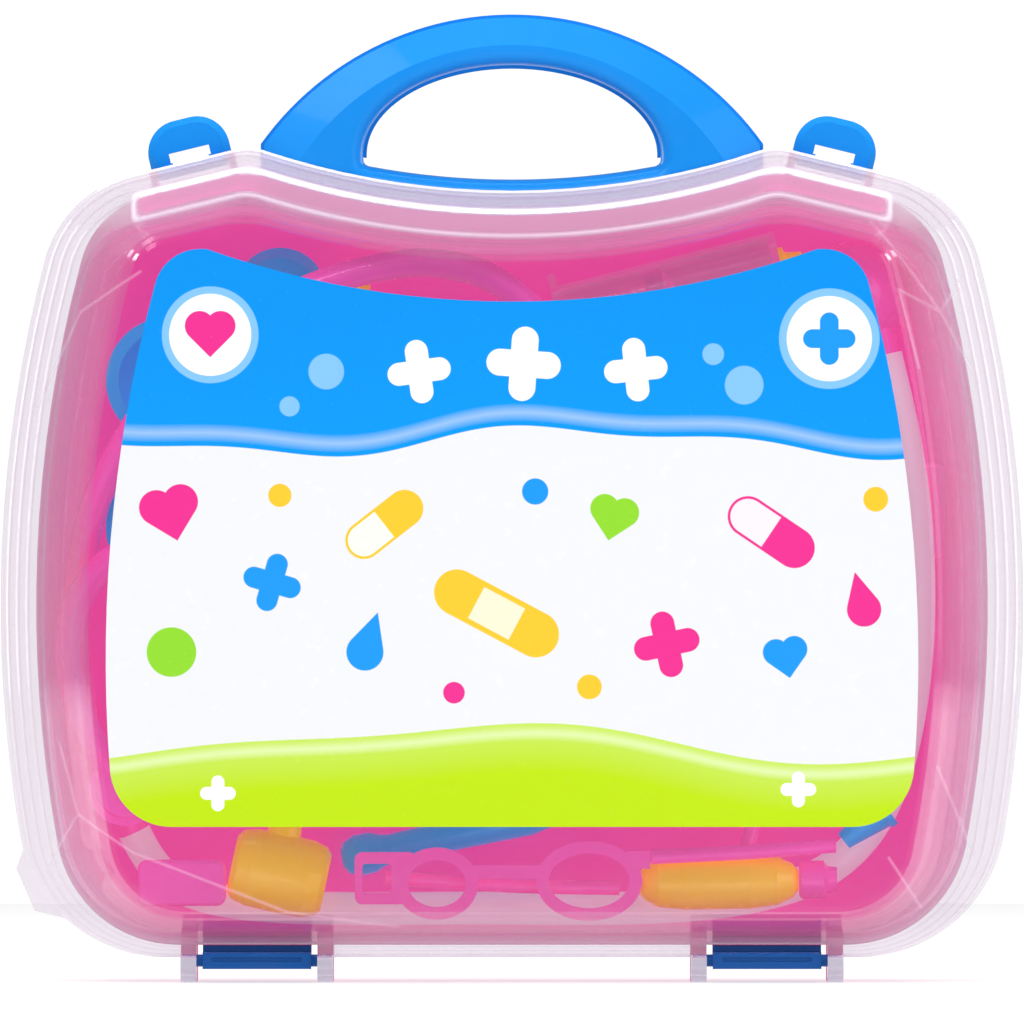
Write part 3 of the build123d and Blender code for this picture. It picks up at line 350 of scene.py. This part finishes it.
def hose_plastic(name, colour):
    """Soft milky tubing with a waxy skin and a painted glow in its own colour."""
    recipe = Recipe(name)
    cloud = recipe.noise(HOSE_CLOUD_SCALE, 3.0)
    base = recipe.mix(cloud, shade(colour, 0.93), colour)
    surface = recipe.node(
        "ShaderNodeBsdfPrincipled", Base_Color=base, Roughness=0.28 + cloud * 0.1, IOR=HOSE_IOR,
        Coat_Weight=0.5, Coat_Roughness=0.15,
        Normal=recipe.bump(recipe.noise(HOSE_SKIN_SCALE, 2.0), 0.12, 0.0002),
        Emission_Color=base, Emission_Strength=HOSE_GLOW,
    )
    glow = recipe.node("ShaderNodeBsdfTranslucent", Color=HOSE_SCATTERED)
    body = recipe.node("ShaderNodeMixShader", s0=HOSE_THROUGH, s1=surface, s2=glow)
    clear = recipe.node("ShaderNodeBsdfTransparent", Color=HOSE_STRAIGHT)
    return recipe.finish(recipe.node("ShaderNodeMixShader", s0=HOSE_CLEAR, s1=body, s2=clear))


# ---------------------------------------------------------------- label print
def disc(x, z, radius):
    """Distance outside a circle."""
    return (x * x + z * z) ** 0.5 - radius


def bar(x, z, half_long, half_wide):
    """Distance outside a bar with round ends, which lies along x."""
    over = (abs(x) - (half_long - half_wide)).most(0.0)
    return (over * over + z * z) ** 0.5 - half_wide


def plus(x, z, size):
    """Distance outside a plus sign with round ends."""
    half_wide = size * 0.36
    return bar(x, z, size, half_wide).least(bar(z, x, size, half_wide))


def heart(x, z, size):
    """Distance outside a heart: discs on the upper sides of a square that stands on its corner."""
    half = size * 0.8
    lobe = disc(abs(x) - half / 2, z - half / 2, half * math.sqrt(0.5))
    square = (abs(x) + abs(z) - half) * math.sqrt(0.5)
    return lobe.least(square)


def drop(x, z, size):
    """Distance outside a drop: a disc and the two tangents that meet above it."""
    radius, tip = size * 0.6, size * 1.35
    lean = math.asin(radius / tip)
    point = (abs(x) * math.cos(lean) + (z - tip) * math.sin(lean)).most(radius * math.sin(lean) - z)
    return disc(x, z, radius).least(point)


MOTIFS = {"disc": disc, "plus": plus, "heart": heart, "drop": drop}

PINK_INK = (0.80, 0.03, 0.27)
BLUE_INK = (0.01, 0.30, 0.82)
YELLOW_INK = (0.95, 0.55, 0.03)
GREEN_INK = (0.27, 0.66, 0.03)
WHITE_INK = (0.94, 0.95, 0.97)
PALE_INK = (0.22, 0.52, 0.90)
# kind, centre's X and Z and size in millimetres, turn in degrees, ink
PRINTED = [
    ("disc", -78.0, 168.0, 12.5, 0, PALE_INK), ("disc", -78.0, 168.0, 10.6, 0, WHITE_INK),
    ("heart", -78.0, 167.6, 6.8, 0, PINK_INK),
    ("disc", -48.0, 158.5, 4.6, 0, PALE_INK), ("disc", -57.5, 149.5, 2.6, 0, PALE_INK),
    ("plus", -24.0, 158.5, 8.2, 8, WHITE_INK), ("plus", 3.0, 160.5, 9.6, -4, WHITE_INK),
    ("plus", 32.0, 159.0, 8.2, 6, WHITE_INK),
    ("disc", 52.0, 163.0, 2.8, 0, PALE_INK), ("disc", 60.0, 155.0, 5.0, 0, PALE_INK),
    ("disc", 82.0, 167.0, 13.0, 0, PALE_INK), ("disc", 82.0, 167.0, 11.0, 0, WHITE_INK),
    ("plus", 82.0, 167.0, 6.8, 0, BLUE_INK),
    ("heart", -88.0, 121.0, 8.0, 14, PINK_INK), ("plus", -62.0, 104.0, 7.6, -16, BLUE_INK),
    ("capsule", -33.0, 119.0, 11.5, 38, YELLOW_INK), ("drop", -38.0, 86.0, 8.0, -18, BLUE_INK),
    ("bandage", -4.0, 96.0, 17.5, -28, YELLOW_INK), ("heart", 26.0, 120.0, 6.6, -12, GREEN_INK),
    ("plus", 40.0, 88.0, 8.6, 12, PINK_INK), ("capsule", 67.0, 117.0, 12.5, -34, PINK_INK),
    ("drop", 91.0, 97.0, 7.4, 14, PINK_INK), ("disc", -88.0, 86.0, 6.4, 0, GREEN_INK),
    ("heart", 71.0, 84.0, 6.0, 10, BLUE_INK), ("disc", 6.0, 127.5, 3.4, 0, BLUE_INK),
    ("disc", -60.0, 126.5, 3.0, 0, YELLOW_INK), ("disc", 94.0, 125.5, 3.2, 0, YELLOW_INK),
    ("disc", -15.0, 75.5, 2.8, 0, PINK_INK), ("disc", 20.0, 77.0, 3.2, 0, YELLOW_INK),
    ("plus", -76.0, 49.5, 4.6, 0, WHITE_INK), ("plus", 74.0, 50.5, 4.6, 0, WHITE_INK),
]

# waves of the label's two edges: radians to the millimetre, phase and height in millimetres
SKY_WAVES = ((0.041, 0.9, 3.4), (0.093, 2.0, 1.5))
HILL_WAVES = ((0.030, 1.9, 4.6), (0.062, 0.4, 1.6))
# the painted highlight, a pale line along each edge: how far inside it, how fast it fades to the millimetre,
# strength
SKY_LINE, HILL_LINE = (3.4, 0.42, 0.55), (2.6, 0.5, 0.5)
CRISPNESS = 5.0              # how fast ink starts at its edge, to the millimetre
GRAIN_SCALE, SOFT_SCALE = 260.0, 9.0         # features to the metre


def wavy(x, waves):
    """Height of a wavy edge at X: the sum of two waves."""
    first, second = ((x * turn + phase).wave() * height for turn, phase, height in waves)
    return first + second


def stripe(inside, middle, fade, strength):
    """Share of a soft line that lies the given way inside an edge."""
    return (1.0 - abs(inside - middle) * fade).clamped() * strength


def label_print(settings):
    """Printed and laminated card: sky, paper and hills with wavy edges, and a scatter of motifs; painted
    highlights lighten the hills toward their edge and lay a pale line along each wavy edge.
    """
    recipe = Recipe("label_print")
    x, _, z = recipe.place()

    def inked(colour, ink, distance):
        """Ink over a colour where the distance outside a shape is negative."""
        return recipe.mix((0.5 - distance * CRISPNESS).clamped(), colour, ink)

    grain = recipe.noise(GRAIN_SCALE, 3.0)
    paper = recipe.mix(grain, shade(settings.paper, 0.97), settings.paper)
    soft = recipe.noise(SOFT_SCALE, 1.0)
    above = z - (settings.wave_height * PER_METRE + wavy(x, SKY_WAVES))
    sky_deep = shade(settings.sky, 0.92)
    sky = recipe.mix(((above - 4.0) * 0.026 + soft * 0.25).clamped(), settings.sky, sky_deep)
    # painted highlight: a pale line along the sky's wavy edge
    sky = recipe.mix(stripe(above, *SKY_LINE), sky, toward_white(settings.sky, 0.55))
    below = (settings.hill_height * PER_METRE + wavy(x, HILL_WAVES)) - z
    # painted highlight: the hills lighter toward their wavy edge, and a pale line along it
    grass = recipe.mix((below * 0.08).clamped(), toward_white(settings.hills, 0.12), settings.hills)
    grass = recipe.mix(stripe(below, *HILL_LINE), grass, toward_white(settings.hills, 0.7))
    colour = recipe.mix((0.5 + above * CRISPNESS).clamped(), paper, sky)
    colour = recipe.mix((0.5 + below * CRISPNESS).clamped(), colour, grass)
    for kind, centre_x, centre_z, size, turn, ink in PRINTED:
        angle = math.radians(turn)
        across, up = x - centre_x, z - centre_z
        u = across * math.cos(angle) + up * math.sin(angle)
        v = up * math.cos(angle) - across * math.sin(angle)
        if kind == "capsule":
            shape = bar(u, v, size, size * 0.42)
            colour = inked(colour, ink, shape)
            colour = inked(colour, toward_white(ink, 0.78), (shape + 0.7).most(u))
        elif kind == "bandage":
            shape = bar(u, v, size, size * 0.34)
            colour = inked(colour, ink, shape)
            pad = (abs(u) - size * 0.34).most(abs(v) - size * 0.26)
            colour = inked(colour, toward_white(ink, 0.6), pad)
        else:
            colour = inked(colour, ink, MOTIFS[kind](u, v, size))
    surface = recipe.node(
        "ShaderNodeBsdfPrincipled", Base_Color=colour, Roughness=0.24 + grain * 0.05, IOR=LAMINATE_IOR,
        Coat_Weight=0.05, Coat_Roughness=0.05, Normal=recipe.bump(soft + grain * 0.02, 0.05, 0.002),
    )
    return recipe.finish(surface)


# ---------------------------------------------------------------- helpers for pieces
def dress(names, material):
    """Give CAD nodes their material."""
    for name in names:
        mesh = NODES[name].data
        mesh.materials.clear()
        mesh.materials.append(material)


def show(name, data, material):
    """Put mesh or curve data in the scene as an object with one material."""
    made = bpy.data.objects.new(name, data)
    bpy.context.scene.collection.objects.link(made)
    data.materials.append(material)
    return made


# ---------------------------------------------------------------- operators
# the lid's form, in millimetres
RIM_START = -5.6             # front of the rim's ribs
WALL_FRONT = 34.0            # how far in front of the origin the walls start
WALL_DEPTH = 28.0            # from there to the rim
LUG_TOP = 7.0                # the lugs are below this height
CREST = 195.0                # the rim is milkier above this height
LEDGE_INSETS = (5.0, 12.0)   # of the ledge's upper and lower edge from the top outline
LEDGE_REACH = 98.5           # from the middle to the ledge's ends
ROUNDING = 3.0               # of the outlines' corners
SHOULDER_FALL = math.radians(13.7)
PEAK = (68.0, 217.4)         # X and height of a shoulder's peak
DIP = (205.7, 204.0)         # height of the dip's lowest point, and its radius
FAR = 100.0                  # more than any distance that a crease needs
# how fast each part's haze starts, to the millimetre
RIM_FADE, CREST_FADE, LUG_FADE, LINE_FADE, CREASE_FADE = 1.5, 0.2, 1.2, 1.1, 1.6
# how much haze each part has; the line's haze is part of a painted highlight along the ledge's edges
CREST_HAZE, LUG_HAZE, WALL_HAZE, LINE_HAZE, LEDGE_HAZE, CREASE_HAZE = 1.2, 0.6, 0.09, 0.5, 0.25, 0.16
LINE_INSET = 0.3             # of the bright line round the ledge
LEDGE_START = 0.6            # how far inside the ledge its haze starts
# runs of X and height along the creases of the lid's corners
CREASES = [
    ((-96.1, 184.3), (-111.9, 174.2), (-123.4, 149.8)),
    ((93.2, 197.6), (111.2, 174.2), (121.0, 156.3)),
    ((117.1, 182.8), (111.2, 174.2), (100.0, 179.7), (105.2, 159.6)),
    ((110.1, 56.2), (120.3, 32.8)), ((97.4, 32.8), (106.2, 19.5)),
    ((-117.4, 62.4), (-112.5, 43.9), (-120.5, 30.9)),
    ((-112.5, 43.9), (-98.2, 34.3), (-57.9, 18.7), (-29.3, 14.8)),
]

LID_EDGE_TINT = (0.85, 0.81, 0.86)
CATCH_MILK = (0.97, 0.97, 0.98)
CATCH_EDGE_TINT = (0.9, 0.9, 0.95)
BARREL_TINT = (0.93, 0.88, 0.92)


def top_edge(recipe, x, inset):
    """Height of the case's top outline, drawn in by an inset: sloping shoulders and the dip."""
    fall = math.tan(SHOULDER_FALL)
    slope = PEAK[1] + fall * PEAK[0] - inset / math.cos(SHOULDER_FALL) - abs(x) * fall
    dip = DIP[0] + DIP[1] - ((DIP[1] + inset) ** 2 - x * x) ** 0.5
    return recipe.math("SMOOTH_MIN", slope, dip, ROUNDING)


def run_distance(x, z, start, end):
    """Distance from a straight run between two points."""
    across, up = end[0] - start[0], end[1] - start[1]
    along = (((x - start[0]) * across + (z - start[1]) * up) / (across ** 2 + up ** 2)).clamped()
    side, rise = x - start[0] - along * across, z - start[1] - along * up
    return (side * side + rise * rise) ** 0.5


class CASE_OT_shells(bpy.types.Operator):
    """Finish the clear lid and the pink tub"""

    bl_idname = "doctor_case.shells"
    bl_label = "Lid and tub"

    def execute(self, context):
        plastics = context.scene.case_plastics

        def thick_parts(recipe):
            """The extra of clear_plastic for the lid: more haze in the rim, the lugs, the walls, the ledge
            and its edges, and the creases of the corners. It also gives painted shade in the rim and the
            lugs, painted pink light from the tub in the walls, and a painted highlight of haze and bright
            milk along the ledge's edges."""
            x, y, z = recipe.place()
            rim = ((y - RIM_START) * RIM_FADE).clamped()
            crest = ((z - CREST) * CREST_FADE).clamped() * CREST_HAZE
            lugs = ((LUG_TOP - z) * LUG_FADE).clamped()
            wall = ((y + WALL_FRONT) / WALL_DEPTH).clamped() ** 2.0
            haze = rim * (1.0 + crest) * plastics.rim_haze + lugs * LUG_HAZE + wall * WALL_HAZE
            above = z - top_edge(recipe, x, LEDGE_INSETS[0])
            below = top_edge(recipe, x, LEDGE_INSETS[1]) - z
            band = recipe.math("SMOOTH_MAX", above.most(below), abs(x) - LEDGE_REACH, ROUNDING)
            # painted highlight: a milky, bright line along the ledge's edges
            highlight_line = (1.1 - abs(band + LINE_INSET) * LINE_FADE).clamped()
            ledge = (band * -1.0 - LEDGE_START).clamped()
            haze = haze + highlight_line * LINE_HAZE + ledge * LEDGE_HAZE
            near = FAR
            for route in CREASES:
                for start, end in zip(route, route[1:]):
                    near = run_distance(x, z, start, end).least(near)
            haze = haze + (1.0 - near * CREASE_FADE).clamped() * CREASE_HAZE
            # painted pink light from the tub away from the rim, the lugs and the line; then painted shade in
            # the rim and the lugs, and the share of the painted highlight
            painted_pink_share = (1.0 - (rim * 0.9).most(lugs).most(highlight_line)) * 0.8
            return haze, rim * 0.4, (rim * 0.15).most(lugs * 0.9), painted_pink_share, highlight_line

        lid = clear_plastic(
            "lid_plastic", plastics.clear, plastics.haze, plastics.edge_haze, LID_EDGE_TINT, thick_parts,
        )
        dress(["front_shell"], lid)
        catch = clear_plastic("catch_plastic", CATCH_MILK, 0.85, 0.1, CATCH_EDGE_TINT)
        dress(["catch_left", "catch_right"], catch)
        # the tub has a painted glow in its pink, at strength lit, emitted though it is no lamp
        dress(["rear_shell"], gloss_plastic("tub_plastic", plastics.pink, 0.2, through=0.65, lit=0.17))
        return {"FINISHED"}


class CASE_OT_fittings(bpy.types.Operator):
    """Finish the handle, the latches and the hinge bars"""

    bl_idname = "doctor_case.fittings"
    bl_label = "Handle, latches and hinges"

    def execute(self, context):
        plastics = context.scene.case_plastics
        handle = gloss_plastic("handle_plastic", plastics.blue, 0.3)
        dress(["handle_front", "handle_rear"], handle)
        dress(["latch_left", "latch_right"], gloss_plastic("latch_plastic", plastics.blue, 0.2, coat=0.2))
        bars = gloss_plastic("bar_plastic", plastics.bar_blue, 0.2)
        dress(["hinge_block_left", "hinge_block_right"], bars)
        return {"FINISHED"}


class CASE_OT_label(bpy.types.Operator):
    """Print the label on the lid"""

    bl_idname = "doctor_case.label"
    bl_label = "Label"

    def execute(self, context):
        dress(["label_sheet"], label_print(context.scene.case_label))
        return {"FINISHED"}


PINK_TOYS = (
    "stethoscope_arm_left", "stethoscope_arm_right", "stethoscope_yoke", "chest_piece",
    "pressure_cuff", "pressure_stem", "pressure_valve", "syringe_plunger",
    "glasses_frame", "glasses_temple_left", "glasses_temple_right", "pill_box", "pill_box_lid",
)
BLUE_TOYS = ("kidney_dish", "otoscope_head", "otoscope_handle", "otoscope_cone", "thermometer")
YELLOW_TOYS = ("hammer_head", "hammer_handle", "pressure_gauge", "pressure_bulb", "syringe_nozzle")
GREEN_TOYS = ("scissors_blade_left", "scissors_blade_right", "tongue_depressor")
WHITE_TOYS = ("ear_tip_left", "ear_tip_right", "chest_diaphragm")
# TOY_GLOW is the strength of the toys' painted glow, which they emit in their own colour though they are no
# lamp
TOY_GLOW, TOY_COAT = 0.30, 0.5


class CASE_OT_toys(bpy.types.Operator):
    """Finish the toys in the tub"""

    bl_idname = "doctor_case.toys"
    bl_label = "Toys"

    def execute(self, context):
        plastics = context.scene.case_plastics
        for name, colour, roughness, toys in (
            ("toy_pink", plastics.toy_pink, 0.22, PINK_TOYS),
            ("toy_blue", plastics.toy_blue, 0.2, BLUE_TOYS),
            ("toy_yellow", plastics.yellow, 0.24, YELLOW_TOYS),
            ("toy_green", plastics.green, 0.24, GREEN_TOYS),
            ("toy_white", plastics.white, 0.3, WHITE_TOYS),
        ):
            dress(toys, gloss_plastic(name, colour, roughness, lit=TOY_GLOW, coat=TOY_COAT))
        barrel = clear_plastic("barrel_plastic", BARREL_TINT, 0.06, 0.45, BARREL_TINT)
        dress(["syringe_barrel"], barrel)
        return {"FINISHED"}


# the hose's route from the yoke to the chest piece, in millimetres
HOSE_ROUTE = [
    (-98.6, 28.4, 38.6), (-94.2, 29.0, 29.0), (-83.0, 29.6, 21.8), (-64.5, 29.7, 19.0),
    (-38.4, 29.7, 18.5), (-8.5, 29.7, 18.8), (20.2, 29.7, 18.5), (43.6, 29.7, 19.0),
    (64.4, 29.7, 21.5), (82.5, 29.6, 27.5), (96.0, 29.2, 41.0), (103.2, 27.8, 62.9),
    (106.4, 24.6, 88.9), (106.0, 23.1, 118.0), (102.4, 23.2, 144.0), (97.6, 23.8, 163.2),
]
HOSE_COLOUR = (0.86, 0.84, 0.88)


class CASE_OT_hose(bpy.types.Operator):
    """Lay the stethoscope's hose along its route"""

    bl_idname = "doctor_case.hose"
    bl_label = "Stethoscope hose"

    def execute(self, context):
        radius = context.scene.case_hose.radius
        curve = bpy.data.curves.new("hose", "CURVE")
        curve.dimensions = "3D"
        curve.bevel_depth = radius
        curve.bevel_resolution = 8
        curve.use_fill_caps = True
        curve.resolution_u = 12
        spline = curve.splines.new("NURBS")
        spline.points.add(len(HOSE_ROUTE) - 1)
        for point, spot in zip(spline.points, HOSE_ROUTE):
            point.co = (spot[0] * MM, spot[1] * MM, spot[2] * MM, 1.0)
        spline.order_u = 3
        spline.use_endpoint_u = True
        hose = show("hose", curve, hose_plastic("hose_plastic", HOSE_COLOUR))
        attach(hose, "base")
        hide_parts("stethoscope_hose")
        return {"FINISHED"}


FLOOR_PAINT, FLOOR_GLOW = 0.5, 0.66          # shares of the floor's colour that it reflects and emits
WORLD_WHITE = 1.05           # strength of the world as the camera sees it
AIM = Vector((0.0, 0.0, 0.12))               # what the lights point at
# name, place, width and height in metres, and power in watts
LIGHTS = (
    ("key", (-0.35, -1.20, 1.20), (1.3, 0.45), 10.5),
    ("fill", (1.15, -1.15, 0.55), (0.8, 1.1), 6.2),
    ("strip", (-0.15, -1.35, 1.00), (1.2, 0.04), 2.8),
    ("top", (0.0, 0.0, 1.30), (1.6, 0.30), 10.0),
    ("back", (0.0, 1.15, 0.55), (1.6, 1.0), 24.0),
    ("left", (-1.10, 0.72, 0.30), (0.30, 1.2), 7.0),
    ("right", (1.10, 0.72, 0.30), (0.30, 1.2), 7.0),
)
TUB_LIGHT = "back"           # it shines on the tub alone, through which it lights the inside


class CASE_OT_studio(bpy.types.Operator):
    """Set the floor, the soft lights and the camera"""

    bl_idname = "doctor_case.studio"
    bl_label = "Studio"

    def execute(self, context):
        studio = context.scene.case_studio
        scene = context.scene
        scene.view_settings.view_transform = "Standard"
        recipe = Recipe("floor_paint")
        grain = recipe.noise(6.0, 2.0)
        paint = shade(studio.floor, FLOOR_PAINT)
        surface = recipe.node(
            "ShaderNodeBsdfPrincipled", Base_Color=recipe.mix(grain, shade(paint, 0.985), paint),
            Roughness=0.5 + grain * 0.1, Specular_IOR_Level=0.1, Emission_Color=studio.floor,
            Emission_Strength=FLOOR_GLOW,
        )
        half = studio.floor_size / 2
        corners = [(-half, -half, 0.0), (half, -half, 0.0), (-half, half, 0.0), (half, half, 0.0)]
        sheet = bpy.data.meshes.new("floor")
        sheet.from_pydata(corners, [], [(0, 1, 3, 2)])
        floor = show("floor", sheet, recipe.finish(surface))

        world = bpy.data.worlds.new("studio")
        scene.world = world
        world.use_nodes = True
        backdrop = world.node_tree.nodes["Background"]
        backdrop.inputs["Color"].default_value = (1.0, 1.0, 1.0, 1.0)
        path = world.node_tree.nodes.new("ShaderNodeLightPath")
        spread = world.node_tree.nodes.new("ShaderNodeMapRange")
        spread.inputs["To Min"].default_value = studio.daylight
        spread.inputs["To Max"].default_value = WORLD_WHITE
        world.node_tree.links.new(path.outputs["Is Camera Ray"], spread.inputs["Value"])
        world.node_tree.links.new(spread.outputs["Result"], backdrop.inputs["Strength"])

        for name, spot, size, power in LIGHTS:
            light = bpy.data.lights.new(name, "AREA")
            light.shape = "RECTANGLE"
            light.size, light.size_y = size
            light.energy = power
            lamp = bpy.data.objects.new(name, light)
            scene.collection.objects.link(lamp)
            lamp.location = spot
            lamp.rotation_euler = (AIM - Vector(spot)).to_track_quat("-Z", "Y").to_euler()
            lamp.visible_camera = False
            if name == TUB_LIGHT:
                receivers = bpy.data.collections.new("lit from the back")
                receivers.objects.link(NODES["rear_shell"])
                lamp.light_linking.receiver_collection = receivers

        lens = bpy.data.cameras.new("camera")
        lens.sensor_width = 36.0
        lens.lens = lens.sensor_width * studio.distance / studio.view_width
        lens.clip_end = 60.0
        camera = bpy.data.objects.new("camera", lens)
        scene.collection.objects.link(camera)
        camera.location = (0.0, -studio.distance, studio.view_height)
        camera.rotation_euler = (math.pi / 2, 0.0, 0.0)
        scene.camera = camera
        return {"FINISHED"}


class CASE_PT_panel(bpy.types.Panel):
    """Lists the case's operators and settings"""

    bl_idname = "CASE_PT_panel"
    bl_label = "Doctor case"
    bl_space_type = "VIEW_3D"
    bl_region_type = "UI"
    bl_category = "Doctor case"

    def draw(self, context):
        for step in STEPS:
            self.layout.operator(step.bl_idname, text=step.bl_label)
        for group in SETTINGS:
            settings = getattr(context.scene, group)
            box = self.layout.box()
            for key in settings.bl_rna.properties.keys():
                if key not in {"rna_type", "name"}:
                    box.prop(settings, key)


STEPS = (CASE_OT_studio, CASE_OT_hose, CASE_OT_shells, CASE_OT_fittings, CASE_OT_label, CASE_OT_toys)
SETTINGS = {
    "case_plastics": CasePlastics, "case_label": LabelPrint, "case_hose": HoseSize,
    "case_studio": StudioSettings,
}


def register():
    """Make the settings, operators and panel known to Blender."""
    for kind in (*SETTINGS.values(), *STEPS, CASE_PT_panel):
        bpy.utils.register_class(kind)
    for name, kind in SETTINGS.items():
        setattr(bpy.types.Scene, name, PointerProperty(type=kind))


def unregister():
    """Take them away again."""
    for name in SETTINGS:
        delattr(bpy.types.Scene, name)
    for kind in (CASE_PT_panel, *reversed(STEPS), *SETTINGS.values()):
        bpy.utils.unregister_class(kind)


def main():
    """Run every step in order."""
    register()
    for step in STEPS:
        group, action = step.bl_idname.split(".")
        if getattr(getattr(bpy.ops, group), action)() != {"FINISHED"}:
            raise RuntimeError(f"{step.bl_label} did not finish")
    bpy.context.view_layer.update()


if __name__ == "__main__":
    main()
